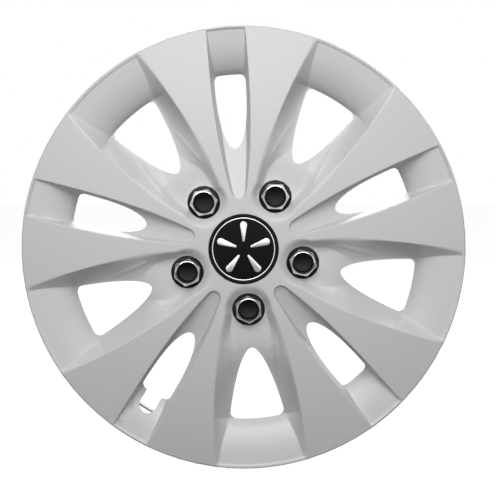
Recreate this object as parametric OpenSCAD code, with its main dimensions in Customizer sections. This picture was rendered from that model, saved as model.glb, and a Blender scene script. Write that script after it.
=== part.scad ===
// Wheel cover: a moulded face with ten blades and ten windows. Ten hinged claws
// and a wire ring behind it snap it into a wheel rim, five lug caps and a centre
// cap trim the hub, and a notch in one narrow window clears the tyre valve.
//
// Each sub-part is drawn with the axle on +Z and the outer face towards +Z.
// upright() then lays the axle along Y with the outer face to -Y, as the cover
// stands on a wheel. The origin is the middle of the plane that meets the rim.

/* [Cover] */
// Outside diameter of the cover
cover_d = 398; // [380:1:480]
// Height of the hub above the rim plane
hub_h = 34; // [30:1:42]
// Height of the blades where they meet the lip
rim_h = 8; // [7:0.5:10]
// Wall of the moulding
wall = 2.8; // [2:0.1:3.4]
// Width of the lip outside the blades
lip_w = 2; // [1.5:0.1:3]
// Turn of the cover about the axle, in degrees
cover_turn = 4.7; // [0:0.1:72]

/* [Recesses and windows] */
// Width of the band between the windows and the edge of the cover
rim_band = 44; // [40:1:52]
// Width of a wide recess at the rim
wide_rim_w = 82; // [76:1:86]
// Width of a wide recess at the lug circle
wide_root_w = 37; // [34:1:40]
// Lean of the side walls of a wide recess from the axle, in degrees
wide_lean = 45; // [38:1:46]
// Width of a narrow recess at the rim
narrow_rim_w = 34.8; // [30:0.2:38]
// Width of a narrow recess behind its rounded tip
narrow_root_w = 10; // [8:0.5:11]
// Radius at which a narrow recess begins
narrow_root_r = 44.5; // [42:0.5:52]
// Lean of the side walls of a narrow recess, in degrees
narrow_lean = 12; // [6:1:16]
// Width of a wide window
wide_window_w = 50; // [42:1:52]
// Width of a narrow window
narrow_window_w = 28.2; // [24:0.2:29]
// Radius at which both windows begin
window_root_r = 89; // [86:1:100]
// Radius of the outer corners of a window
window_corner_r = 5; // [3:0.5:7]

/* [Valve notch] */
// Width of the notch
notch_w = 15.4; // [12:0.2:18]
// Reach of the notch past the edge of the window
notch_l = 18.4; // [16:0.2:21]

/* [Lug caps] */
// Diameter of the lug circle
lug_circle_d = 108.8; // [104:0.1:115]
// Diameter of the pocket round each lug cap
lug_pocket_d = 39; // [36:0.5:40]
// Height of the floor of the pockets above the rim plane
lug_floor_h = 18; // [15:0.5:20]
// Diameter of the flange of a lug cap
lug_flange_d = 28.8; // [27:0.2:31]
// Thickness of the flange
lug_flange_t = 2; // [1.4:0.1:2.6]
// Diameter of the bore that takes the stem of a lug cap
lug_bore_d = 24.6; // [20.4:0.1:25]
// Width of the bright hexagon across its flats
lug_hex_w = 22; // [20:0.2:24]
// Height of the bright hexagon
lug_hex_h = 11; // [8:0.5:12]
// Diameter of the hole in a lug cap
lug_hole_d = 16.8; // [14:0.2:17]

/* [Centre cap] */
// Diameter of the centre cap
cap_d = 62; // [58:1:64]
// Thickness of the rim of the centre cap
cap_t = 3.4; // [2.6:0.2:4]
// Diameter of the bore for the fingers of the centre cap
cap_bore_d = 52; // [46:0.5:53]
// Length of the fingers of the centre cap
finger_l = 17; // [12:0.5:20]
// Diameter of the emblem plate
emblem_d = 57; // [50:0.5:58]

/* [Wire ring and claws] */
// Distance from the edge of the cover in to the middle of the wire
wire_inset = 29.3; // [27:0.1:31]
// Diameter of the wire
wire_d = 3; // [2.4:0.1:3.4]
// Distance of the middle of the wire behind the rim plane
wire_drop = 8; // [8:0.5:10]
// Width of a claw along the rim
claw_w = 14; // [10:0.5:18]
// Thickness of the leg of a claw
claw_t = 2.8; // [2.2:0.1:3.2]
// Reach of the claws behind the rim plane
claw_l = 31; // [28:0.5:36]
// Reach of a barb past the leg of its claw
barb_l = 6.4; // [4:0.2:8]
// Most that a claw turns inwards, in degrees
claw_swing = 5; // [2:0.5:5]
// Running gap between a claw and its socket, and between the wire and a claw
run_gap = 0.3; // [0.2:0.05:0.5]
// Gap round a piece that is pressed or snapped in
fit_gap = 0.15; // [0.1:0.05:0.3]

/* [Hidden] */
pairs = 5;
claws = 2 * pairs;
pair_step = 360 / pairs;
wide_first = -90 + cover_turn;
narrow_first = wide_first + pair_step / 2;
notch_pair = 5;
claw_first = wide_first + pair_step / 4;

$fn = 96;

// The cover
cover_r = cover_d / 2;
blade_r = cover_r - lip_w;
window_r = cover_r - rim_band;
crease_r = window_r + 17;
lug_r = lug_circle_d / 2;
dome_power = 2.2;
seat_r = cover_r - wall;
skirt_r = cover_r - 11;
skirt_h = 5;
back_h = 20;
front_h = hub_h + 20;

// The outlines
edge_power = 2.05;
narrow_power = 2.68;
narrow_tip_l = 6;
edge_steps = 16;
window_steps = 13;
far_side = 75;
prism_l = 190;

// The height of the floor of each recess, as [radius, height] points
valley_r = window_root_r - 1;
window_sill_h = -6;
sill_bend_r = window_r + 8;
sill_bend_h = -0.6;
crease_h = 3.2;
ledge_h = 2.4;
rim_floor = [
    [window_r, window_sill_h],
    [sill_bend_r, sill_bend_h],
    [crease_r, crease_h],
    [blade_r - 0.4, rim_h - ledge_h],
    [blade_r + 0.2, rim_h + 4],
    [cover_r + 10, rim_h + 20]
];
wide_floor = concat(
    [[0, lug_floor_h], [lug_r + lug_pocket_d / 2, lug_floor_h], [valley_r, 11], [120, 7]],
    rim_floor
);
narrow_floor = concat(
    [[narrow_root_r - 1, dome(narrow_root_r) - 2], [60, 24], [window_root_r, 14], [120, 8]],
    rim_floor
);

// The claws, in a plane through the axle: radius and height. The wire lies in the
// hooks of the claws, which leave it room to close in as the cover is pushed on.
wire_r = cover_r - wire_inset;
bead_d = 5.2;
bead_r = wire_r + 3.3;
bead_h = 5.5;
socket_w = claw_w + 5;
socket_t = 11;
socket_floor_h = 1;
neck_t = 2.4;
leg_inner_r = wire_r + wire_d / 2 + 1.6;
shelf_t = 2.2;
hook_lip_t = 2;
hook_room = 6;

// The lug caps and the centre cap
lug_seat_h = lug_floor_h + fit_gap;
lug_stem_l = 11;
lug_sleeve_t = 1;
cap_top_h = dome(cap_d / 2);
cap_seat_h = cap_top_h - cap_t;
collar_t = 3;
finger_t = 1.6;
emblem_t = 1.2;
adhesive_t = 0.5;
inlay_t = 0.5;
spring_d = 1.6;

// Height of the blades and the hub at a radius
function dome(r) = hub_h - (hub_h - rim_h) * pow(min(r, blade_r) / blade_r, dome_power);

// Half the width of a wide recess at a radius
function wide_edge(r) = wide_rim_w / 2
    - (wide_rim_w - wide_root_w) / 2 * pow(max(blade_r - r, 0) / (blade_r - lug_r), edge_power);

// Half the width of a narrow recess at a radius, with its rounded tip
function narrow_edge(r) =
    (narrow_rim_w / 2 - (narrow_rim_w - narrow_root_w) / 2
        * pow(max(blade_r - 7 - r, 0) / (blade_r - 7 - narrow_root_r), narrow_power))
    * tip((r - narrow_root_r) / narrow_tip_l);

function tip(u) = u >= 1 ? 1 : sqrt(max(0, 1 - pow(1 - u, 2)));

// Half the width of each window at a radius
function window_share(r) = (window_r - r) / (window_r - window_root_r);
function wide_window_edge(r) = wide_window_w / 2 * pow(max(0, 1 - pow(window_share(r), 1.06)), 0.556);
function narrow_window_edge(r) = narrow_window_w / 2 * sqrt(max(0, 1 - pow(window_share(r), 2.45)));

// A point at a radius from the axle and a distance to one side of a centre line
function beside(r, side) = [sqrt(r * r - side * side), side];

// Radii from one to another, closer together near the first
function radii(r0, r1, n) = [for (i = [0:n]) r0 + (r1 - r0) * pow(i / n, 1.5)];

function window_radii() = radii(window_root_r, window_r - window_corner_r, window_steps);

module upright() {
    rotate([90, 0, 0]) children();
}

module around(first, i, count = pairs) {
    rotate([0, 0, first + (i - 1) * 360 / count]) children();
}

// One leaning side of a recess. edge holds points [x, side at height 0].
module leaning_side(edge, lean) {
    flat = [for (p = edge) [p[0], p[1] * cos(lean)]];
    rotate([-lean, 0, 0])
        translate([0, 0, -prism_l])
            linear_extrude(2 * prism_l)
                polygon(concat(flat, [[flat[len(flat) - 1][0], -far_side], [flat[0][0], -far_side]]));
}

module above(floor_points, drop) {
    rotate_extrude()
        polygon(concat(
            [[0, front_h], [0, floor_points[0][1] - drop]],
            [for (p = floor_points) if (p[0] > 0) [p[0], p[1] - drop]],
            [[cover_r + 10, front_h]]
        ));
}

// The space of one recess. grow moves its sides and its floor into the moulding.
module recess(edge, lean, floor_points, grow) {
    intersection() {
        leaning_side(edge, lean);
        mirror([0, 1, 0]) leaning_side(edge, lean);
        above(floor_points, grow * 1.05);
    }
}

module wide_recess(grow) {
    edge = [for (r = radii(lug_r, cover_r + 6, edge_steps))
        beside(r, wide_edge(r)) + [0, grow / cos(wide_lean) - dome(r) * tan(wide_lean)]];
    recess(edge, wide_lean, wide_floor, grow);
    translate([lug_r, 0, lug_floor_h - grow]) cylinder(d = lug_pocket_d + 2 * grow, h = front_h);
}

module narrow_recess(grow) {
    edge = [for (r = radii(narrow_root_r, cover_r + 6, edge_steps))
        beside(r, narrow_edge(r)) + [-grow, grow / cos(narrow_lean) - dome(r) * tan(narrow_lean)]];
    recess(edge, narrow_lean, narrow_floor, grow);
}

module recesses(grow) {
    for (i = [1:pairs]) {
        around(wide_first, i) wide_recess(grow);
        around(narrow_first, i) narrow_recess(grow);
    }
}

// A window whose half width at a radius is half_w[i]; its outer corners are arcs
module window(edge) {
    last = edge[len(edge) - 1];
    corner_side = last[1] - window_corner_r;
    corner = beside(window_r - window_corner_r, corner_side);
    turn = asin(corner_side / (window_r - window_corner_r));
    half = concat(
        edge,
        [for (a = [75:-15:0]) corner + window_corner_r * [cos(a + turn * (1 - a / 90)), sin(a + turn * (1 - a / 90))]],
        [beside(window_r, corner_side / 2), [window_r, 0]]
    );
    other = [for (i = [len(half) - 2:-1:1]) [half[i][0], -half[i][1]]];
    translate([0, 0, -2 * back_h - 5]) linear_extrude(front_h + 2 * back_h + 5) polygon(concat(half, other));
}

module wide_window() {
    window([for (r = window_radii()) beside(r, wide_window_edge(r))]);
}

module narrow_window() {
    window([for (r = window_radii()) beside(r, narrow_window_edge(r))]);
}

module windows() {
    for (i = [1:pairs]) {
        around(wide_first, i) wide_window();
        around(narrow_first, i) narrow_window();
    }
    around(narrow_first, notch_pair) valve_notch();
}

module valve_notch() {
    end_r = window_r + notch_l - notch_w / 2;
    translate([0, 0, -back_h]) {
        translate([window_r - 8, -notch_w / 2, 0]) cube([end_r - window_r + 8, notch_w, front_h + back_h]);
        translate([end_r, 0, 0]) cylinder(d = notch_w, h = front_h + back_h);
    }
}

// The solid form of the face, down to the lowest rib behind it
module face_form() {
    rotate_extrude($fn = 200)
        polygon(concat(
            [[0, -back_h], [0, hub_h]],
            [for (r = [20:16:blade_r - 8]) [r, dome(r)]],
            [
                [blade_r, rim_h],
                [blade_r + lip_w * 0.6, rim_h - 0.5],
                [cover_r - 0.1, rim_h - 1.6],
                [cover_r, rim_h - 2.8],
                [cover_r, 0],
                [skirt_r + 2, 0],
                [skirt_r + 2, -back_h]
            ]
        ));
}

// The hollow behind the face, before its ribs and sockets are added back
module face_hollow() {
    rotate_extrude($fn = 200)
        polygon(concat(
            [[0, -back_h - 5], [0, hub_h - wall]],
            [for (r = [28:16:blade_r - 8]) [r, dome(r) - wall]],
            [[seat_r - 1, rim_h - wall], [seat_r, rim_h - wall - 1.2], [seat_r, -back_h - 5]]
        ));
}

// What stands in the hollow: the cap collar, the skirt, the blade ribs and the claw sockets
module face_back() {
    translate([0, 0, cap_seat_h - wall]) cylinder(d = cap_d + 2 * wall, h = front_h);
    translate([0, 0, cap_seat_h - wall - 12]) cylinder(d = cap_bore_d + 2 * collar_t, h = front_h);
    difference() {
        translate([0, 0, -skirt_h]) cylinder(r = skirt_r, h = front_h, $fn = 200);
        translate([0, 0, -back_h]) cylinder(r = skirt_r - 2, h = 3 * front_h, $fn = 200);
    }
    for (i = [1:claws]) around(claw_first, i, claws) {
        blade_rib();
        socket_block();
    }
}

module blade_rib() {
    rib_r0 = lug_r + 14;
    rib_r1 = bead_r - socket_t / 2 + 1;
    translate([rib_r0, -1, dome(rib_r1) - wall - 5]) cube([rib_r1 - rib_r0, 2, front_h]);
}

module socket_block() {
    translate([bead_r - socket_t / 2, -socket_w / 2, socket_floor_h]) cube([socket_t, socket_w, front_h]);
}

// The channel that a claw's bead turns in, and the mouth that its neck swings in
module socket_channel() {
    length = claw_w + 2 * run_gap;
    mouth_in = neck_t / 2 + run_gap + (bead_h - socket_floor_h) * sin(claw_swing);
    mouth_out = neck_t / 2 + run_gap;
    translate([bead_r, 0, bead_h]) rotate([90, 0, 0])
        cylinder(d = bead_d + 2 * run_gap, h = length, center = true);
    translate([bead_r - mouth_in, -length / 2, -back_h])
        cube([mouth_in + mouth_out, length, back_h + bead_h]);
}

module cover_face() {
    color([0.78, 0.79, 0.8])
        upright()
            difference() {
                face_form();
                recesses(0);
                difference() {
                    face_hollow();
                    recesses(wall);
                    face_back();
                }
                windows();
                for (i = [1:claws]) around(claw_first, i, claws) socket_channel();
                for (i = [1:pairs]) around(wide_first, i)
                    translate([lug_r, 0, 0]) cylinder(d = lug_bore_d, h = lug_floor_h + 1);
                cylinder(d = cap_bore_d, h = front_h);
                translate([0, 0, cap_seat_h]) cylinder(d = cap_d + 4 * fit_gap, h = front_h);
            }
}

module claw(i) {
    wire_top_h = -wire_drop + wire_d / 2;
    shelf_h = wire_top_h + run_gap;
    lip_r = wire_r - wire_d / 2 - hook_room;
    leg_outer_r = leg_inner_r + claw_t;
    barb_r = leg_outer_r + barb_l;
    color([0.32, 0.33, 0.35])
        upright()
            around(claw_first, i, claws)
                rotate([90, 0, 0])
                    translate([0, 0, -claw_w / 2]) {
                        translate([bead_r, bead_h, 0]) cylinder(d = bead_d, h = claw_w);
                        linear_extrude(claw_w)
                            polygon([
                                [bead_r - neck_t / 2, bead_h],
                                [bead_r + neck_t / 2, bead_h],
                                [bead_r + neck_t / 2, socket_floor_h - 0.6],
                                [leg_outer_r, -1.2],
                                [leg_outer_r, 17 - claw_l],
                                [barb_r, 9 - claw_l],
                                [barb_r, 7 - claw_l],
                                [leg_outer_r + 1.4, -claw_l],
                                [leg_inner_r + 2.2, -claw_l],
                                [leg_inner_r + 0.5, wire_top_h - wire_d - 2.5],
                                [leg_inner_r, wire_top_h - wire_d],
                                [leg_inner_r, shelf_h],
                                [lip_r, shelf_h],
                                [lip_r, wire_top_h - wire_d - 1.5],
                                [lip_r - hook_lip_t, wire_top_h - wire_d],
                                [lip_r - hook_lip_t, shelf_h + shelf_t],
                                [bead_r - neck_t / 2, shelf_h + shelf_t + 1.2]
                            ]);
                        }
}

module retention_ring() {
    end_gap = 0.4;
    color([0.72, 0.73, 0.75])
        upright()
            rotate([0, 0, ferrule_angle() + end_gap])
                translate([0, 0, -wire_drop])
                    rotate_extrude(angle = 360 - 2 * end_gap, $fn = 200)
                        translate([wire_r, 0]) circle(d = wire_d, $fn = 24);
}

// The ferrule sits behind the rim opposite the notch, half way between two claws
function ferrule_angle() = narrow_first + (notch_pair - 1) * pair_step + 180;

module ring_ferrule() {
    span = 6;
    color([0.6, 0.61, 0.63])
        upright()
            rotate([0, 0, ferrule_angle() - span / 2])
                translate([0, 0, -wire_drop])
                    rotate_extrude(angle = span, $fn = 200)
                        translate([wire_r, 0]) difference() {
                            circle(d = wire_d + 2, $fn = 24);
                            circle(d = wire_d + 2 * fit_gap, $fn = 24);
                        }
}

module at_lug(i) {
    upright() around(wide_first, i) translate([lug_r, 0, 0]) children();
}

// The dark cup: flange, sleeve inside the hexagon, closed floor and four barbed legs
module lug_cup(i) {
    hole_r = lug_hole_d / 2;
    stem_r = lug_bore_d / 2 - fit_gap;
    barb_h = lug_floor_h - wall * 1.05 - 0.2;
    color([0.06, 0.06, 0.065])
        at_lug(i)
            difference() {
                union() {
                    translate([0, 0, lug_seat_h]) cylinder(d = lug_flange_d, h = lug_flange_t);
                    translate([0, 0, lug_floor_h - lug_stem_l]) cylinder(r = stem_r, h = lug_stem_l + 1);
                    translate([0, 0, barb_h - 2.4]) cylinder(r1 = stem_r, r2 = stem_r + 0.7, h = 2.4);
                    translate([0, 0, lug_seat_h])
                        cylinder(r = hole_r + lug_sleeve_t, h = lug_flange_t + lug_hex_h - 1.2);
                }
                translate([0, 0, lug_floor_h - lug_stem_l + 2]) cylinder(r = hole_r, h = front_h);
                for (a = [45:90:315]) rotate([0, 0, a])
                    translate([hole_r + lug_sleeve_t, -1, lug_floor_h - lug_stem_l - 1])
                        cube([lug_bore_d, 2, lug_stem_l - 1.5]);
            }
}

module lug_hex(i) {
    foot_h = lug_seat_h + lug_flange_t;
    top_r = lug_hole_d / 2 + 1.2;
    across = lug_hex_w / cos(30);
    color([0.85, 0.86, 0.88])
        at_lug(i)
            difference() {
                intersection() {
                    translate([0, 0, foot_h]) cylinder(d = across, h = lug_hex_h, $fn = 6);
                    translate([0, 0, foot_h]) cylinder(r1 = across / 2 + lug_hex_h - 3.4, r2 = top_r + 0.2, h = lug_hex_h + 0.2);
                }
                translate([0, 0, foot_h - 1]) cylinder(d = lug_hole_d + 2 * lug_sleeve_t + 2 * fit_gap, h = lug_hex_h + 3);
            }
}

module centre_cap() {
    finger_r = cap_bore_d / 2 - run_gap;
    slots = 8;
    color([0.05, 0.05, 0.055])
        upright()
            difference() {
                union() {
                    translate([0, 0, cap_seat_h + run_gap]) cylinder(d = cap_d, h = cap_t - run_gap - 0.8);
                    translate([0, 0, cap_top_h - 0.8]) cylinder(r1 = cap_d / 2, r2 = cap_d / 2 - 0.8, h = 0.8);
                    translate([0, 0, cap_seat_h - finger_l]) cylinder(r = finger_r, h = finger_l + 1);
                }
                translate([0, 0, cap_seat_h - finger_l - 1]) cylinder(r = finger_r - finger_t - 1, h = finger_l + 1);
                translate([0, 0, cap_seat_h - finger_l + 3]) cylinder(r = finger_r - finger_t, h = finger_l - 3);
                translate([0, 0, cap_top_h - emblem_t]) cylinder(d = emblem_d + 2 * fit_gap, h = emblem_t + 1);
                translate([0, 0, cap_top_h - emblem_t - adhesive_t]) cylinder(d = emblem_d - 4, h = emblem_t);
                for (i = [1:slots]) rotate([0, 0, i * 360 / slots])
                    translate([finger_r - 2 * finger_t - 2, -1.5, cap_seat_h - finger_l - 1])
                        cube([2 * finger_t + 4, 3, finger_l - 1]);
            }
}

module cap_spring_ring() {
    ring_r = cap_bore_d / 2 - run_gap - finger_t - spring_d / 2 - 0.05;
    color([0.7, 0.71, 0.73])
        upright()
            rotate([0, 0, 4])
                translate([0, 0, cap_seat_h - finger_l + 3 + spring_d / 2 + 0.05])
                    rotate_extrude(angle = 352) translate([ring_r, 0]) circle(d = spring_d, $fn = 24);
}

module emblem_adhesive() {
    color([0.15, 0.15, 0.15])
        upright()
            translate([0, 0, cap_top_h - emblem_t - adhesive_t]) cylinder(d = emblem_d - 5, h = adhesive_t);
}

module emblem_plate() {
    color([0.04, 0.04, 0.045])
        upright()
            translate([0, 0, cap_top_h - emblem_t]) cylinder(d = emblem_d, h = emblem_t - inlay_t);
}

module petal(r0, r1, w0, w1) {
    lean = asin((w1 - w0) / (r1 - r0));
    translate([r0, 0, 0]) cylinder(r = w0, h = inlay_t);
    translate([r1, 0, 0]) cylinder(r = w1, h = inlay_t);
    linear_extrude(inlay_t) polygon([
        [r0 - w0 * sin(lean), w0 * cos(lean)],
        [r1 - w1 * sin(lean), w1 * cos(lean)],
        [r1 - w1 * sin(lean), -w1 * cos(lean)],
        [r0 - w0 * sin(lean), -w0 * cos(lean)]
    ]);
}

// A border ring and five plain petals on the emblem plate
module emblem_inlay() {
    border_r = emblem_d / 2 - 0.3;
    color([0.88, 0.89, 0.9])
        upright()
            translate([0, 0, cap_top_h - inlay_t]) {
                difference() {
                    cylinder(r = border_r, h = inlay_t);
                    translate([0, 0, -1]) cylinder(r = border_r - 1.2, h = inlay_t + 2);
                }
                for (i = [1:pairs]) rotate([0, 0, 90 + i * pair_step])
                    petal(border_r * 0.27, border_r * 0.76, 1.1, 3.2);
            }
}

cover_face();
retention_ring();
ring_ferrule();
for (i = [1:claws]) claw(i);
for (i = [1:pairs]) lug_cup(i);
for (i = [1:pairs]) lug_hex(i);
centre_cap();
emblem_plate();
emblem_inlay();
emblem_adhesive();
cap_spring_ring();
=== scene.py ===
import math

import bmesh
import bpy
import numpy as np
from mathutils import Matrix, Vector

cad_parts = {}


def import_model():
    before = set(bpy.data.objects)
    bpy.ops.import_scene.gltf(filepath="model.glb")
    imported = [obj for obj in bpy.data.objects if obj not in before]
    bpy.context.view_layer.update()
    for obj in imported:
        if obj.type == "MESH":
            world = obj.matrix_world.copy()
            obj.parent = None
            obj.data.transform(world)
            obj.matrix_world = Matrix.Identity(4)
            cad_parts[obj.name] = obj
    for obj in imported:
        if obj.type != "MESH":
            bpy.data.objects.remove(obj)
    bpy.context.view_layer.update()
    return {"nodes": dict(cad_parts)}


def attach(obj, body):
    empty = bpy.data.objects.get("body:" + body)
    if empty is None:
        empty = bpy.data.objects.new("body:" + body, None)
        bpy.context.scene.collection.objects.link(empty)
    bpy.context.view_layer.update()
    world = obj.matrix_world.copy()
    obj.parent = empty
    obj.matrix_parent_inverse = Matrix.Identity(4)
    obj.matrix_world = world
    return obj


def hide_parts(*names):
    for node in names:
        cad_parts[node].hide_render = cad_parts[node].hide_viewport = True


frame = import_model()

# Every piece is shaped in millimetres with the axle on +Z and the outer face
# towards +Z, and then laid down with the axle along Y and the outer face to -Y.
PAIRS = 5
HALF = math.radians(36)
WIDE_FIRST = math.radians(-85.3)
BLADE_R = 197.0
HUB_H = 34.0
RIM_H = 8.0
WALL = 2.8
# the windows, which begin at ROOT_R and end at WINDOW_R with rounded corners
ROOT_R = 89.0
NARROW_ROOT_R = 44.5
WINDOW_R = 155.0
CORNER_R = 5.0
NOTCH_PAIR = 4
NOTCH_HALF = 7.7
NOTCH_END = 173.4
# the lug caps, each in a well inside a wider pocket
LUG_R = 54.4
POCKET_R = 20.2
WELL_R = 14.65
LUG_BORE_R = 12.3
LUG_FLOOR = 18.0
FLANGE_H = 2.15
HEX_H = 11.0
# the seat of the centre cap, and the top of the plate on it
CAP_SEAT = 30.15
PLATE_TOP = 33.05
# where the back of the face begins and ends
BACK_FROM = 33.8
BACK_TO = 196.2


# ---------------------------------------------------------------- meshes

def world(points):
    p = np.asarray(points, float)
    return np.stack([p[:, 0], -p[:, 2], p[:, 1]], axis=1) / 1000


def new_object(name, points, faces, materials, face_slots=None, sharp=40.0):
    mesh = bpy.data.meshes.new(name)
    mesh.from_pydata(world(points).tolist(), [], faces)
    for m in materials:
        mesh.materials.append(m)
    if face_slots is not None:
        mesh.polygons.foreach_set("material_index", np.asarray(face_slots, np.int32))
    bm = bmesh.new()
    bm.from_mesh(mesh)
    bmesh.ops.remove_doubles(bm, verts=bm.verts, dist=2e-7)
    bmesh.ops.recalc_face_normals(bm, faces=bm.faces)
    bm.to_mesh(mesh)
    bm.free()
    mesh.shade_smooth()
    mesh.set_sharp_from_angle(angle=math.radians(sharp))
    obj = bpy.data.objects.new(name, mesh)
    bpy.context.scene.collection.objects.link(obj)
    return obj


def revolve(profile, steps=96, centre=(0.0, 0.0), start=0.0, angle=2 * math.pi):
    """Points and faces of a closed [radius, height] profile turned about an axis."""
    full = abs(angle - 2 * math.pi) < 1e-9
    count = steps if full else steps + 1
    n = len(profile)
    points = []
    for k in range(count):
        a = start + angle * k / steps
        for r, h in profile:
            points.append((centre[0] + r * math.cos(a), centre[1] + r * math.sin(a), h))
    faces = []
    for k in range(steps):
        k2 = (k + 1) % count
        for i in range(n):
            i2 = (i + 1) % n
            ring = [k * n + i, k2 * n + i, k2 * n + i2, k * n + i2]
            on_axis = profile[i][0] < 1e-9, profile[i2][0] < 1e-9
            if all(on_axis):
                continue
            if on_axis[0]:
                ring = [ring[0], ring[2], ring[3]]
            elif on_axis[1]:
                ring = [ring[0], ring[1], ring[2]]
            faces.append(ring)
    if not full:
        faces.append(list(range(n)))
        faces.append([(count - 1) * n + i for i in reversed(range(n))])
    return points, faces


def joined(parts):
    """One list of points and faces out of several."""
    points, faces = [], []
    for p, f in parts:
        base = len(points)
        points.extend(p)
        faces.extend([[i + base for i in face] for face in f])
    return points, faces


def prism(outline, low, high, place):
    """A closed prism of a flat outline; place turns (u, v, w) into a point."""
    n = len(outline)
    points = [place(u, v, low) for u, v in outline] + [place(u, v, high) for u, v in outline]
    faces = [list(reversed(range(n))), [n + i for i in range(n)]]
    for i in range(n):
        j = (i + 1) % n
        faces.append([i, j, n + j, n + i])
    return points, faces


# ---------------------------------------------------------------- the face as a height field

def smooth_min(a, b, k):
    h = np.clip(k - np.abs(a - b), 0, None) / k
    return np.minimum(a, b) - h * h * k / 4


def smooth_max(a, b, k):
    h = np.clip(k - np.abs(a - b), 0, None) / k
    return np.maximum(a, b) + h * h * k / 4


def dome(r):
    return HUB_H - (HUB_H - RIM_H) * (np.minimum(r, BLADE_R) / BLADE_R) ** 2.2


def wide_edge(r):
    return 41 - 22.5 * (np.clip(BLADE_R - r, 0, None) / 142.6) ** 2.05


def narrow_edge(r):
    u = np.clip((r - NARROW_ROOT_R) / 6, 0, 1)
    body = 17.4 - 12.4 * (np.clip(190 - r, 0, None) / 145.5) ** 2.68
    return body * np.sqrt(np.clip(1 - (1 - u) ** 2, 0, None))


def pocket_edge(r):
    """Half the width of the round pocket of a lug cap, at a distance from the axle."""
    c = (r * r + LUG_R ** 2 - POCKET_R ** 2) / (2 * LUG_R * r)
    return r * np.sqrt(np.clip(1 - c * c, 0, None))


def wide_outline(r):
    strip = np.where(r > 56, wide_edge(r), 0)
    return np.maximum(strip, pocket_edge(r))


def window_share(r):
    return np.clip((WINDOW_R - r) / (WINDOW_R - ROOT_R), 0, 1)


def rounded_corner(r, half):
    """The half width of a window whose outer corners are rounded."""
    reach = np.clip(r - (WINDOW_R - CORNER_R), 0, CORNER_R)
    return half + np.sqrt(CORNER_R ** 2 - reach ** 2) - CORNER_R


def wide_window(r):
    inside = 25 * (1 - window_share(np.minimum(r, WINDOW_R - CORNER_R)) ** 1.06) ** 0.556
    half = rounded_corner(r, inside)
    return np.where(r <= WINDOW_R, half, half * r / WINDOW_R)


def narrow_window(r):
    inside = 14.1 * np.sqrt(1 - window_share(np.minimum(r, WINDOW_R - CORNER_R)) ** 2.45)
    half = rounded_corner(r, inside)
    return np.where(r <= WINDOW_R, half, half * r / WINDOW_R)


def notched_window(r):
    end = NOTCH_END - NOTCH_HALF
    slot = np.sqrt(np.clip(NOTCH_HALF ** 2 - np.clip(r - end, 0, None) ** 2, 0, None))
    return np.where(r <= WINDOW_R, narrow_window(r), slot)


def along(r, points):
    """A smooth curve through [radius, value] points."""
    x = np.array([p[0] for p in points], float)
    y = np.array([p[1] for p in points], float)
    slope = np.gradient(y, x)
    r = np.clip(r, x[0], x[-1])
    i = np.clip(np.searchsorted(x, r) - 1, 0, len(x) - 2)
    w = x[i + 1] - x[i]
    t = (r - x[i]) / w
    return (y[i] * (1 + 2 * t) * (1 - t) ** 2 + slope[i] * w * t * (1 - t) ** 2
            + y[i + 1] * t * t * (3 - 2 * t) - slope[i + 1] * w * t * t * (1 - t))


# The floors of the recesses, as radius and height, and the width of a wide recess's wall, as
# radius and width.
RIM_FLOOR = [
    (155, -6), (156, -4.6), (157, -3.4), (158, -2.35), (159, -1.45), (160, -0.65), (161, 0.05), (162.5, 0.95),
    (164, 1.75), (166, 2.65), (168, 3.4), (170, 4.05), (172, 4.6), (176, 5.45), (180, 6.0), (184, 6.35),
    (190, 6.6), (195.6, 6.7), (196.2, 7.0), (196.9, 7.75), (197.5, 8.0)
]
WIDE_FLOOR = [
    (0, 29.6), (35, 29.2), (45, 26.2), (54.4, 23.3), (62, 21.9), (70, 21.2), (78, 20.9), (84, 20.4),
    (89, 19.6), (97, 17.2), (108, 13.0), (120, 8.4), (130, 4.9), (140, 1.2), (148, -2.4)
]
NARROW_FLOOR = [
    (43.5, 31.0), (50, 28.8), (60, 25.6), (74, 21.2), (89, 16.5), (104, 12.2), (120, 8), (130, 5.0),
    (140, 1.3), (148, -2.4)
]
WALL_WIDTH = [
    (30, 5.9), (66, 5.9), (76, 7.4), (84, 11), (92, 17), (100, 20.5), (110, 19.6), (120, 17.8),
    (140, 15.5), (155, 14), (172, 8.4), (186, 4.8), (197, 2.6), (199, 2.4)
]


def floor_height(r, inner):
    """The floor of a recess, which the rim's floor carries on outside the windows."""
    rim = np.interp(r, *np.array(RIM_FLOOR).T)
    return np.where(r < WINDOW_R, along(r, inner + RIM_FLOOR[:1]), rim)


def wall_power(r):
    """How hollow the side wall of a wide recess is: 1 is straight."""
    return np.interp(r, [40, 76, 95, 140, 168, 199], [1.1, 1.25, 1.7, 1.7, 1.12, 1.05])


def wide_inside(r, t):
    """How far a point lies inside the outline of a wide recess."""
    side = r * np.sin(t)
    pocket = POCKET_R - np.hypot(r * np.cos(t) - LUG_R, side)
    lean = wide_edge(r + 0.5) - wide_edge(r - 0.5)
    strip = (wide_edge(r) - side) / np.sqrt(1 + lean * lean)
    return np.where(r > 56, np.maximum(pocket, strip), pocket)


def narrow_inside(r, t):
    """How far a point lies inside the outline of a narrow recess."""
    side = r * np.sin(HALF - t)
    lean = narrow_edge(r + 0.25) - narrow_edge(r - 0.25)
    inside = (narrow_edge(r) - side) / np.sqrt(1 + 4 * lean * lean)
    return np.where(r > NARROW_ROOT_R, inside, -np.hypot(NARROW_ROOT_R - r, side))


def recess_wall(inside, width, drop, power):
    """How far the wall has dropped at a distance inside the outline; it climbs on outside it."""
    u = inside / width
    share = np.where(u < 0, power * u, 1 - (1 - np.clip(u, 0, 1)) ** power)
    return drop * share


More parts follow.
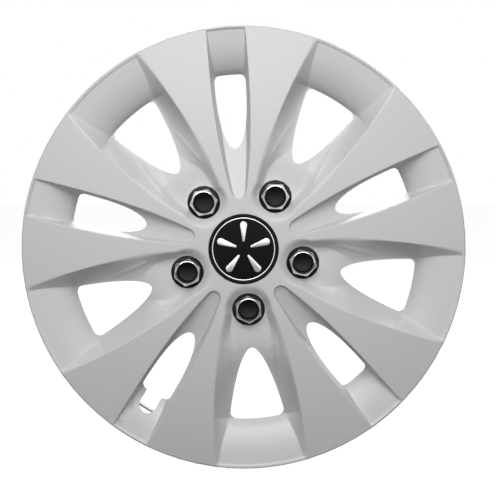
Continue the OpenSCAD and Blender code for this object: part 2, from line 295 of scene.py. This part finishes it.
def face_height(r, t, back=False):
    """Height of the front or the back of the moulding at a radius and an angle from a wide centre line."""
    drop_by = WALL if back else 0
    shift = 1.6 if back else 0
    top = dome(r)
    drop = np.maximum(top - floor_height(r, WIDE_FLOOR), 0.6)
    width = along(r, WALL_WIDTH)
    wide = top - recess_wall(wide_inside(r, t) + shift, width, drop, wall_power(r))
    floor_n = floor_height(r, NARROW_FLOOR)
    drop_n = np.maximum(top - floor_n, 0.6)
    narrow = top - (narrow_inside(r, t) + shift) * 4.7
    narrow = smooth_max(narrow, floor_n, np.minimum(1.6, 0.5 * drop_n))
    k_wide = np.minimum(np.interp(r, [66, 110], [3.4, 1.5]), 0.6 * drop)
    k_narrow = np.minimum(2.4, 0.6 * drop_n)
    height = smooth_min(top, wide, k_wide)
    height = smooth_min(height, narrow, k_narrow)
    ridge_at = np.interp(r, [84, 100, 112, 126], [22.2, 21.6, 21.5, 20.3])
    ridge_h = np.interp(r, [82, 90, 116, 126], [0, 0.8, 0.8, 0])
    ridge = ridge_h * np.exp(-((r * np.sin(t) - ridge_at) / 1.15) ** 2)
    height = height + ridge - drop_by
    if back:
        return np.minimum(height, np.interp(r, [190, 195.2, 196.2], [9, 5.2, 4.0], left=HUB_H))
    lip = np.interp(r, [196, 197, 197.6, 198.2, 198.7, 199], [9, 8.0, 7.9, 7.55, 6.8, 5.6], left=HUB_H)
    return np.minimum(height, lip)


def spread(a, b, near_a, near_b, middle):
    """Places from a to b: close ones at fixed distances from each end, and even ones between."""
    gap = b - a
    reach_a = near_a[-1] if near_a else 0
    reach_b = near_b[-1] if near_b else 0
    scale = np.minimum(1, 0.7 * gap / max(reach_a + reach_b, 1e-9))
    places = [a]
    places += [a + scale * o for o in near_a]
    low = a + scale * reach_a
    high = b - scale * reach_b
    places += [low + (high - low) * k / middle for k in range(1, middle)]
    if near_b:
        places += [b - scale * o for o in reversed(near_b)]
    return places


def columns(radii, window_n):
    """The angles of the columns from a wide centre line to the next narrow one, one row per radius."""
    r = radii
    full = HALF * r

    def arc(side):
        return r * np.arcsin(np.clip(side / r, 0, 1))

    edge_w = arc(wide_outline(r))
    window_w = np.where(r >= ROOT_R, arc(wide_window(r)), 0)
    window_w = np.minimum(window_w, edge_w * 0.97)
    crease = np.interp(r, [155, 172, 197], [25, 32, 38.4])
    foot = np.where(r < 155, wide_outline(r) - along(r, WALL_WIDTH), crease)
    foot_w = np.clip(arc(np.clip(foot, 0, None)), window_w, edge_w)
    edge_n = full - arc(narrow_edge(r) * (r > NARROW_ROOT_R))
    window_side = window_n(r) * (r >= ROOT_R)
    window_a = full - np.minimum(arc(window_side), (full - edge_n) * 0.99)
    foot_n = narrow_edge(r) - 0.2126 * np.maximum(dome(r) - floor_height(r, NARROW_FLOOR), 0.6)
    foot_a = np.clip(full - arc(np.clip(foot_n, 0, None) * (r > NARROW_ROOT_R)), edge_n, window_a)
    ends = [0 * r, window_w, foot_w, edge_w, edge_n, foot_a, window_a, full]
    near = [0.25, 0.6]
    fine = [0.25, 0.55, 0.95, 1.5, 2.3]
    plan = [
        ([], near, 8), (near, [0.6], 3), ([0.6], fine, 12), (fine, fine, 4), (fine[:4], [0.4], 2),
        ([0.4], near, 2), (near, [], 5)
    ]
    places = []
    knots = []
    for (a, b), (near_a, near_b, middle) in zip(zip(ends[:-1], ends[1:]), plan):
        knots.append(len(places))
        places += spread(a, b, near_a, near_b, middle)
    places.append(ends[-1])
    return np.stack(places, axis=1) / r[:, None], knots


def row_radii():
    """The radii of the rows, closer together where the face bends more."""
    spans = [
        (31.3, 34.9, 0.6), (34.9, 36.5, 0.2), (36.5, 44.5, 0.7), (44.5, 46.5, 0.25), (46.5, 72, 0.9),
        (72, 76, 0.5), (76, 89, 1.0), (89, 90, 0.17), (90, 92, 0.4), (92, 97, 0.8), (97, 149, 1.3),
        (149, 153, 0.6), (153, 154.4, 0.28), (154.4, 155, 0.1), (155, 156, 0.25), (156, 165.7, 0.9),
        (165.7, 171, 0.7), (171, 172, 0.25), (172, 173, 0.22), (173, 173.4, 0.1), (173.4, 195.6, 1.3),
        (195.6, 199, 0.25)
    ]
    rows = [31.5, BACK_FROM, 171.9, 172.1, BACK_TO, 196.4, 197.1]
    for low, high, step in spans:
        n = max(1, round((high - low) / step))
        rows += [low + (high - low) * k / n for k in range(n + 1)]
    return np.unique(np.round(rows, 3))


def lug_centre(i):
    """Where the axis of a lug cap stands, and its angle about the axle."""
    a = WIDE_FIRST + i * 2 * HALF
    return (LUG_R * math.cos(a), LUG_R * math.sin(a)), a


def cover_mesh():
    """Points, faces and material slots of the face: front, back, hub bore and window walls."""
    radii = row_radii()
    plain, knots = columns(radii, narrow_window)
    notched, _ = columns(radii, notched_window)
    half_n = plain.shape[1] - 1
    angles = []
    local = []
    cells = []
    for k in range(2 * PAIRS):
        pair = k // 2
        t = notched if pair == NOTCH_PAIR else plain
        if k % 2 == 0:
            use = t[:, :-1]
            angles.append(WIDE_FIRST + pair * 2 * HALF + use)
        else:
            use = t[:, ::-1][:, :-1]
            angles.append(WIDE_FIRST + (pair + 1) * 2 * HALF - use)
        local.append(use)
        cells += [(k // 2, j if k % 2 == 0 else half_n - 1 - j) for j in range(half_n)]
    angle = np.concatenate(angles, axis=1)
    t = np.concatenate(local, axis=1)
    r = np.repeat(radii[:, None], angle.shape[1], axis=1)
    front = face_height(r, t)
    front[0] -= 0.35
    rear = face_height(r, t, back=True)
    x = r * np.cos(angle)
    y = r * np.sin(angle)
    count = angle.shape[1]
    rows = len(radii)

    hole = np.zeros((rows - 1, count), bool)
    window_rows = (radii[:-1] >= ROOT_R - 1e-6) & (radii[1:] <= WINDOW_R + 1e-6)
    notch_rows = (radii[:-1] >= ROOT_R - 1e-6) & (radii[1:] <= NOTCH_END + 1e-6)
    for c, (pair, column) in enumerate(cells):
        if column < knots[1]:
            hole[window_rows, c] = True
        if column >= knots[6]:
            hole[notch_rows if pair == NOTCH_PAIR else window_rows, c] = True

    # the wells of the lug caps, with the corners round each moved onto its circle
    for i in range(PAIRS):
        (cx, cy), a = lug_centre(i)
        away = np.hypot(x - cx, y - cy)
        corners = away[:-1] + away[1:]
        cell = (corners + np.roll(corners, -1, axis=1)) / 4 < WELL_R
        hole |= cell
        inner = np.zeros((rows, count), bool)
        outer = np.zeros((rows, count), bool)
        for turn in (0, 1):
            for down in (slice(0, -1), slice(1, None)):
                inner[down] |= np.roll(cell, turn, axis=1)
                outer[down] |= np.roll(~cell, turn, axis=1) & (away[:-1] < 2 * WELL_R)
        rim = inner & outer
        x[rim] = cx + (x[rim] - cx) * WELL_R / away[rim]
        y[rim] = cy + (y[rim] - cy) * WELL_R / away[rim]
        rim_t = np.abs((np.arctan2(y[rim], x[rim]) - a + math.pi) % (2 * math.pi) - math.pi)
        front[rim] = face_height(np.hypot(x[rim], y[rim]), rim_t)
        rear[rim] = face_height(np.hypot(x[rim], y[rim]), rim_t, back=True)

    def ring(radius, height):
        height = np.broadcast_to(height, (count,))
        a = angle[np.argmin(np.abs(radii - min(max(radius, radii[0]), radii[-1])))]
        return np.stack([radius * np.cos(a), radius * np.sin(a), height], axis=1)

    points = [np.stack([x[i], y[i], front[i]], axis=1) for i in range(rows)]
    first_back = int(np.argmin(np.abs(radii - BACK_FROM)))
    last_back = int(np.argmin(np.abs(radii - BACK_TO)))
    points += [ring(199, 5.0), ring(199, 0.25), ring(198.75, 0), ring(BACK_TO, 0)]
    back_rows = list(range(last_back, first_back - 1, -1))
    back_at = {}
    for i in back_rows:
        back_at[i] = len(points)
        points.append(np.stack([x[i], y[i], rear[i]], axis=1))
    points += [
        ring(BACK_FROM, np.minimum(27.35, rear[first_back] - 0.05)), ring(29, 27.35), ring(29, 15.6),
        ring(28.8, 15.35), ring(26.2, 15.35), ring(26, 15.6), ring(26, CAP_SEAT), ring(31.3, CAP_SEAT)
    ]
    total = len(points)
    stacked = np.concatenate(points)
    next_column = (np.arange(count) + 1) % count
    quads = []
    slots = []

    def add(a, b, cells, slot):
        c = np.nonzero(cells)[0]
        n = next_column[c]
        quads.append(np.stack([a * count + c, a * count + n, b * count + n, b * count + c], axis=1))
        slots.append(np.full(len(c), slot))

    everything = np.ones(count, bool)
    for i in range(rows - 1):
        add(i, i + 1, ~hole[i], 0)
    for i in range(rows - 1, rows + 3):
        add(i, i + 1, everything, 0 if i < rows + 1 else 1)
    add(rows + 3, back_at[last_back], everything, 1)
    for i in range(last_back, first_back, -1):
        add(back_at[i], back_at[i - 1], ~hole[i - 1], 1)
    for i in range(back_at[first_back], total - 1):
        add(i, i + 1, everything, 1 if i < total - 2 else 0)
    add(total - 1, 0, everything, 0)
    # the walls of the windows, the notch and the wells
    for i in range(rows - 1):
        sides = np.nonzero(hole[i] != np.roll(hole[i], 1))[0]
        if len(sides):
            f0, f1 = i * count + sides, (i + 1) * count + sides
            b0, b1 = back_at[i] * count + sides, back_at[i + 1] * count + sides
            quads.append(np.stack([f0, f1, b1, b0], axis=1))
            slots.append(np.zeros(len(sides), int))
    for i in range(1, rows - 1):
        ends = np.nonzero(hole[i] != hole[i - 1])[0]
        if len(ends):
            n = next_column[ends]
            f, b = i * count, back_at[i] * count
            quads.append(np.stack([f + ends, f + n, b + n, b + ends], axis=1))
            slots.append(np.zeros(len(ends), int))
    quads = np.concatenate(quads)
    slots = np.concatenate(slots)
    _, keep, where = np.unique(np.round(stacked, 4), axis=0, return_index=True, return_inverse=True)
    where = where.reshape(-1)
    faces = []
    face_slots = []
    for quad, slot in zip(where[quads].tolist(), slots.tolist()):
        face = [v for i, v in enumerate(quad) if v != quad[i - 1]]
        if len(set(face)) > 2:
            faces.append(face)
            face_slots.append(slot)
    return stacked[keep], faces, face_slots


# ---------------------------------------------------------------- materials

def material(name, color, metallic, roughness, **sockets):
    m = bpy.data.materials.new(name)
    m.use_nodes = True
    shader = m.node_tree.nodes["Principled BSDF"]
    shader.inputs["Base Color"].default_value = (*color, 1)
    shader.inputs["Metallic"].default_value = metallic
    shader.inputs["Roughness"].default_value = roughness
    for key, value in sockets.items():
        shader.inputs[key.replace("_", " ")].default_value = value
    return m


def grain(m, scale, bump, distance, spread_of_roughness=0.0):
    """A fine procedural relief, and a little change in the roughness."""
    tree = m.node_tree
    shader = tree.nodes["Principled BSDF"]
    place = tree.nodes.new("ShaderNodeTexCoord")
    noise = tree.nodes.new("ShaderNodeTexNoise")
    noise.inputs["Scale"].default_value = scale
    noise.inputs["Detail"].default_value = 3
    relief = tree.nodes.new("ShaderNodeBump")
    relief.inputs["Strength"].default_value = bump
    relief.inputs["Distance"].default_value = distance
    tree.links.new(place.outputs["Object"], noise.inputs["Vector"])
    tree.links.new(noise.outputs["Fac"], relief.inputs["Height"])
    tree.links.new(relief.outputs["Normal"], shader.inputs["Normal"])
    if spread_of_roughness:
        base = shader.inputs["Roughness"].default_value
        ramp = tree.nodes.new("ShaderNodeMapRange")
        ramp.inputs["To Min"].default_value = base - spread_of_roughness
        ramp.inputs["To Max"].default_value = base + spread_of_roughness
        tree.links.new(noise.outputs["Fac"], ramp.inputs["Value"])
        tree.links.new(ramp.outputs["Result"], shader.inputs["Roughness"])
    return m


paint = grain(
    material("silver paint", (0.60, 0.605, 0.615), 0.05, 0.5, Coat_Weight=0.08, Coat_Roughness=0.3),
    900, 0.03, 0.0004, 0.04
)
raw_back = grain(material("raw plastic", (0.36, 0.365, 0.375), 0.0, 0.5), 700, 0.08, 0.0005, 0.05)
cup_black = grain(
    material("cup black", (0.007, 0.006, 0.006), 0.0, 0.32, Specular_IOR_Level=0.22),
    600, 0.03, 0.0003, 0.05
)
hex_chrome = material("hex chrome", (0.82, 0.83, 0.85), 1.0, 0.09)
cap_black = grain(
    material("cap black", (0.005, 0.005, 0.006), 0.0, 0.35, Specular_IOR_Level=0.12),
    700, 0.02, 0.0003, 0.03
)
emblem_black = grain(
    material("emblem black", (0.004, 0.004, 0.005), 0.0, 0.3, Specular_IOR_Level=0.08),
    900, 0.02, 0.0002, 0.03
)
emblem_silver = grain(material("emblem silver", (0.66, 0.67, 0.69), 1.0, 0.24), 1500, 0.04, 0.0002, 0.05)
foam = grain(material("adhesive foam", (0.05, 0.05, 0.05), 0.0, 0.9), 900, 0.4, 0.0005)
wire_steel = grain(material("ring wire", (0.42, 0.43, 0.45), 1.0, 0.34), 400, 0.05, 0.0003, 0.08)
spring_steel = grain(material("spring wire", (0.50, 0.51, 0.53), 1.0, 0.3), 400, 0.05, 0.0003, 0.08)
ferrule_steel = grain(material("ferrule steel", (0.50, 0.51, 0.53), 1.0, 0.4), 500, 0.1, 0.0004, 0.08)
claw_plastic = grain(material("claw plastic", (0.035, 0.036, 0.038), 0.0, 0.5), 600, 0.1, 0.0005, 0.06)


# ---------------------------------------------------------------- the face

def back_top(r, t):
    """A height inside the wall of the face, where what stands on its back can end."""
    return float(face_height(np.array([r]), np.array([t]), back=True)[0]) + 1.0


def turned(points_by_step):
    """Points and faces of a ring of closed outlines, one for each step of a turn."""
    n = len(points_by_step[0])
    steps = len(points_by_step)
    points = [point for outline in points_by_step for point in outline]
    faces = []
    for k in range(steps):
        m = (k + 1) % steps
        for i in range(n):
            j = (i + 1) % n
            faces.append([k * n + i, m * n + i, m * n + j, k * n + j])
    return points, faces


def socket_parts(a):
    """The block that takes a claw's bead, with its channel, and the rib behind the blade."""
    ca, sa = math.cos(a), math.sin(a)

    def place(u, v, w):
        return (u * ca - w * sa, u * sa + w * ca, v)

    inner, outer = 167.5, 178.5
    low, half_w, cheek = 1, 7.3, 2.2
    bead_r, bead_h, channel = 173.0, 5.5, 2.9
    top = [(outer, back_top(outer, HALF / 2)), (inner, back_top(inner, HALF / 2))]
    parts = []
    for side in (-half_w - cheek, half_w):
        parts.append(prism([(inner, low), (outer, low)] + top, side, side + cheek, place))
    outline = [(inner, low), (bead_r - 1.89, low)]
    for k in range(17):
        b = math.radians(229.3 - 288.1 * k / 16)
        outline.append((bead_r + channel * math.cos(b), bead_h + channel * math.sin(b)))
    outline += [(bead_r + 1.5, low), (outer, low)] + top
    parts.append(prism(outline, -half_w, half_w, place))
    rib_from, rib_to, rib_low = 68.4, 168.0, 7.85
    rib = [(rib_from, rib_low), (rib_to, rib_low)]
    rib += [(r, back_top(r, HALF / 2)) for r in np.linspace(rib_to, rib_from, 24)]
    parts.append(prism(rib, -1, 1, place))
    return parts


def skirt_part():
    """The ring that stands behind the rim of the face."""
    inner, outer, low, edge = 186, 188, -5, 0.2
    outlines = []
    for k in range(720):
        a = 2 * math.pi * k / 720
        t = (a - WIDE_FIRST) % (2 * HALF)
        t = min(t, 2 * HALF - t)
        outline = [
            (outer, low + edge), (outer - edge, low), (inner + edge, low), (inner, low + edge),
            (inner, back_top(inner, t)), (outer, back_top(outer, t))
        ]
        outlines.append([(r * math.cos(a), r * math.sin(a), h) for r, h in outline])
    return turned(outlines)


def well_part(i):
    """The well under a lug cap: a ledge with the bore, and a wall up into the face round it."""
    (cx, cy), turn = lug_centre(i)
    inner, outer, low = WELL_R + 0.1, WELL_R + 1.5, LUG_FLOOR - WALL
    outlines = []
    for k in range(96):
        a = 2 * math.pi * k / 96
        ca, sa = math.cos(a), math.sin(a)
        outline = [(LUG_BORE_R, LUG_FLOOR), (LUG_BORE_R, low), (outer - 0.3, low), (outer, low + 0.3)]
        for reach in (outer, inner):
            x, y = cx + reach * ca, cy + reach * sa
            t = abs((math.atan2(y, x) - turn + math.pi) % (2 * math.pi) - math.pi)
            outline.append((reach, back_top(math.hypot(x, y), t)))
        outline.append((inner, LUG_FLOOR))
        outlines.append([(cx + reach * ca, cy + reach * sa, level) for reach, level in outline])
    return turned(outlines)


def build_face():
    points, faces, slots = cover_mesh()
    parts = [skirt_part()]
    for k in range(2 * PAIRS):
        parts += socket_parts(WIDE_FIRST + HALF / 2 + k * HALF)
    for i in range(PAIRS):
        parts.append(well_part(i))
    more_points, more_faces = joined(parts)
    base = len(points)
    all_points = np.concatenate([points, np.array(more_points)])
    faces += [[i + base for i in face] for face in more_faces]
    slots += [1] * len(more_faces)
    obj = new_object("cover_face_shell", all_points, faces, [paint, raw_back], slots, 45)
    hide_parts("cover_face")
    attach(obj, "cover")


# ---------------------------------------------------------------- lug caps, centre cap and emblem

def build_lugs():
    for i in range(PAIRS):
        centre, a = lug_centre(i)
        sleeve = FLANGE_H + HEX_H - 1.2
        profile = [
            (0, -9.0), (7.9, -9.0), (8.25, -8.88), (8.4, -8.5), (8.4, sleeve - 0.3), (8.55, sleeve - 0.1),
            (8.9, sleeve), (9.25, sleeve - 0.1), (9.4, sleeve - 0.35), (9.4, FLANGE_H + 0.2),
            (9.6, FLANGE_H), (13.9, FLANGE_H), (14.25, FLANGE_H - 0.13), (14.4, 1.7), (14.4, 0.5),
            (14.2, 0.2), (13.9, 0.15), (12.15, 0.15), (12.15, -3.0), (12.85, -3.14), (12.15, -5.5),
            (12.15, -10.65), (11.8, -11.0), (0, -11.0)
        ]
        profile = [(radius, LUG_FLOOR + level) for radius, level in profile]
        cup = new_object(f"lug_cup_{i + 1}_shell", *revolve(profile, 96, centre), [cup_black])
        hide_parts(f"lug_cup_{i + 1}")
        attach(cup, "cover")
        nut = new_object(f"lug_hex_{i + 1}_shell", *hexagon(centre, a), [hex_chrome], sharp=25)
        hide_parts(f"lug_hex_{i + 1}")
        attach(nut, "cover")


def hexagon(centre, turn):
    """A hollow hexagon with rounded corners and a domed top, round a sleeve."""
    foot, flats, bore, top_r, corner = LUG_FLOOR + FLANGE_H, 22.0, 9.55, 9.8, 1.3
    across = flats / 2 / math.cos(math.pi / 6)
    # the cone that trims the top stands on a wider circle than the corners
    cone_r = across + HEX_H - 3.4

    def cone_h(radius):
        return foot + HEX_H * (cone_r - radius) / (cone_r - top_r)

    outlines = []
    for s in range(180):
        a = 2 * math.pi * s / 180
        to_side = math.pi / 6 - abs((a + math.pi / 6) % (math.pi / 3) - math.pi / 6)
        out = min(flats / 2 / math.cos(to_side), across - corner * 0.155)
        meet = cone_h(out)
        outline = [
            (bore, foot + 0.15), (bore + 0.15, foot), (out - 0.25, foot), (out, foot + 0.25),
            (out, meet - 0.45), (out - 0.12, meet - 0.1)
        ]
        for k in range(1, 7):
            radius = out - 0.35 - (out - 0.6 - top_r) * k / 7
            outline.append((radius, min(cone_h(radius), foot + HEX_H)))
        outline += [
            (top_r + 0.1, foot + HEX_H - 0.08), (top_r - 0.15, foot + HEX_H), (bore, foot + HEX_H - 0.2)
        ]
        b = a + turn
        outlines.append([(centre[0] + r * math.cos(b), centre[1] + r * math.sin(b), h) for r, h in outline])
    return turned(outlines)


def build_cap():
    top = PLATE_TOP
    profile = [
        (0, top - 0.7), (28.3, top - 0.7), (28.5, top - 0.55), (28.5, top - 0.3), (28.25, top - 0.05),
        (27.9, top - 0.02), (0, top)
    ]
    plate = new_object("emblem_plate_shell", *revolve(profile, 160), [emblem_black])
    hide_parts("emblem_plate")
    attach(plate, "cap")
    border = [
        (27.0, top), (28.2, top), (28.2, top + 0.25), (28.05, top + 0.43), (27.85, top + 0.5),
        (27.35, top + 0.5), (27.15, top + 0.43), (27.0, top + 0.25)
    ]
    parts = [revolve(border, 180)]
    for i in range(PAIRS):
        parts.append(petal(math.radians(90 + 72 * i), 7.6, 21.4, 1.1, 3.2))
    inlay = new_object("emblem_inlay_shell", *joined(parts), [emblem_silver])
    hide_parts("emblem_inlay")
    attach(inlay, "cap")


def petal(turn, r0, r1, w0, w1):
    """A petal with round ends and a rounded edge, between two radii and two half widths."""
    lean = math.asin((w1 - w0) / (r1 - r0))
    rings = []
    for inset, rise in ((0.0, 0.0), (0.0, 0.29), (0.07, 0.4), (0.2, 0.47), (0.4, 0.5)):
        level = PLATE_TOP + rise
        ring = []
        for k in range(13):
            a = math.pi / 2 + lean + (math.pi - 2 * lean) * k / 12
            ring.append((r0 + (w0 - inset) * math.cos(a), (w0 - inset) * math.sin(a), level))
        for k in range(25):
            a = -math.pi / 2 - lean + (math.pi + 2 * lean) * k / 24
            ring.append((r1 + (w1 - inset) * math.cos(a), (w1 - inset) * math.sin(a), level))
        rings.append(ring)
    n = len(rings[0])
    ct, st = math.cos(turn), math.sin(turn)
    points = [(x * ct - y * st, x * st + y * ct, z) for ring in rings for x, y, z in ring]
    faces = [list(reversed(range(n))), [(len(rings) - 1) * n + k for k in range(n)]]
    for i in range(len(rings) - 1):
        for k in range(n):
            m = (k + 1) % n
            faces.append([i * n + k, i * n + m, (i + 1) * n + m, (i + 1) * n + k])
    return points, faces


# ---------------------------------------------------------------- pieces kept from the CAD model

def dress(node, mat, bevel):
    """Give a CAD node its material, and a rounded edge of a width in millimetres."""
    obj = frame["nodes"][node]
    obj.data.materials.clear()
    obj.data.materials.append(mat)
    weld = obj.modifiers.new("weld", "WELD")
    weld.merge_threshold = 0.000002
    if bevel:
        edge = obj.modifiers.new("bevel", "BEVEL")
        edge.width = bevel / 1000
        edge.segments = 2
        edge.limit_method = "ANGLE"
        edge.angle_limit = math.radians(40)
    obj.data.shade_smooth()
    obj.data.set_sharp_from_angle(angle=math.radians(35))


build_face()
build_lugs()
build_cap()
dress("centre_cap", cap_black, 0.25)
dress("emblem_adhesive", foam, 0)
dress("cap_spring_ring", spring_steel, 0)
dress("retention_ring", wire_steel, 0)
dress("ring_ferrule", ferrule_steel, 0.15)
for i in range(2 * PAIRS):
    dress(f"claw_{i + 1}", claw_plastic, 0.25)


# ---------------------------------------------------------------- stage, light and camera

def area_light(name, place, size_x, size_y, power):
    """A lamp that looks at the middle of the cover."""
    data = bpy.data.lights.new(name, "AREA")
    data.shape = "RECTANGLE"
    data.size = size_x
    data.size_y = size_y
    data.energy = power
    obj = bpy.data.objects.new(name, data)
    obj.location = place
    obj.rotation_euler = (-Vector(place)).to_track_quat("-Z", "Y").to_euler()
    bpy.context.scene.collection.objects.link(obj)


def build_floor():
    """A floor that the camera sees white, with the shadow on it."""
    bm = bmesh.new()
    bmesh.ops.create_grid(bm, x_segments=8, y_segments=8, size=6)
    mesh = bpy.data.meshes.new("floor")
    bm.to_mesh(mesh)
    bm.free()
    floor = bpy.data.objects.new("floor", mesh)
    floor.location = (0, 0, -0.1992)
    bpy.context.scene.collection.objects.link(floor)
    mat = bpy.data.materials.new("floor white")
    mat.use_nodes = True
    tree = mat.node_tree
    tree.nodes.clear()
    glow = tree.nodes.new("ShaderNodeEmission")
    glow.inputs["Color"].default_value = (1, 1, 1, 1)
    path = tree.nodes.new("ShaderNodeLightPath")
    seen = tree.nodes.new("ShaderNodeMath")
    seen.operation = "MULTIPLY"
    seen.inputs[1].default_value = 0.9
    tree.links.new(path.outputs["Is Camera Ray"], seen.inputs[0])
    tree.links.new(seen.outputs[0], glow.inputs["Strength"])
    matte = tree.nodes.new("ShaderNodeBsdfDiffuse")
    matte.inputs["Color"].default_value = (0.22, 0.22, 0.22, 1)
    both = tree.nodes.new("ShaderNodeAddShader")
    tree.links.new(glow.outputs[0], both.inputs[0])
    tree.links.new(matte.outputs[0], both.inputs[1])
    out = tree.nodes.new("ShaderNodeOutputMaterial")
    tree.links.new(both.outputs[0], out.inputs["Surface"])
    mesh.materials.append(mat)


def build_world():
    """White to the camera, in reflections and through clear pieces, and a soft light from above."""
    studio = bpy.data.worlds.new("studio")
    bpy.context.scene.world = studio
    studio.use_nodes = True
    tree = studio.node_tree
    tree.nodes.clear()
    place = tree.nodes.new("ShaderNodeTexCoord")
    split = tree.nodes.new("ShaderNodeSeparateXYZ")
    ramp = tree.nodes.new("ShaderNodeMapRange")
    for key, value in (("From Min", -0.5), ("From Max", 0.5), ("To Min", 0.06), ("To Max", 0.34)):
        ramp.inputs[key].default_value = value
    tree.links.new(place.outputs["Generated"], split.inputs[0])
    tree.links.new(split.outputs["Z"], ramp.inputs["Value"])
    soft = tree.nodes.new("ShaderNodeBackground")
    white = tree.nodes.new("ShaderNodeBackground")
    for shader in (soft, white):
        shader.inputs["Color"].default_value = (1, 1, 1, 1)
    tree.links.new(ramp.outputs["Result"], soft.inputs["Strength"])
    white.inputs["Strength"].default_value = 1
    path = tree.nodes.new("ShaderNodeLightPath")
    chosen = path.outputs["Is Camera Ray"]
    for kind in ("Is Glossy Ray", "Is Transmission Ray"):
        most = tree.nodes.new("ShaderNodeMath")
        most.operation = "MAXIMUM"
        tree.links.new(chosen, most.inputs[0])
        tree.links.new(path.outputs[kind], most.inputs[1])
        chosen = most.outputs[0]
    mix = tree.nodes.new("ShaderNodeMixShader")
    tree.links.new(chosen, mix.inputs[0])
    tree.links.new(soft.outputs[0], mix.inputs[1])
    tree.links.new(white.outputs[0], mix.inputs[2])
    out = tree.nodes.new("ShaderNodeOutputWorld")
    tree.links.new(mix.outputs[0], out.inputs["Surface"])


build_floor()
build_world()
area_light("key", (-0.12, -2.16, 1.6), 2.2, 1.5, 48)
area_light("front", (0.0, -2.6, 0.1), 2.0, 1.5, 11)
area_light("back", (0.3, 2.3, 1.4), 2.2, 1.5, 46)

camera_data = bpy.data.cameras.new("camera")
camera_data.lens = 243
camera_data.sensor_width = 36
camera = bpy.data.objects.new("camera", camera_data)
elevation = math.radians(3)
distance = 3.0
camera.location = (0.0035, -distance * math.cos(elevation), 0.002 + distance * math.sin(elevation))
camera.rotation_euler = (math.pi / 2 - elevation, 0, 0)
bpy.context.scene.collection.objects.link(camera)
bpy.context.scene.camera = camera
bpy.context.scene.view_settings.view_transform = "Standard"
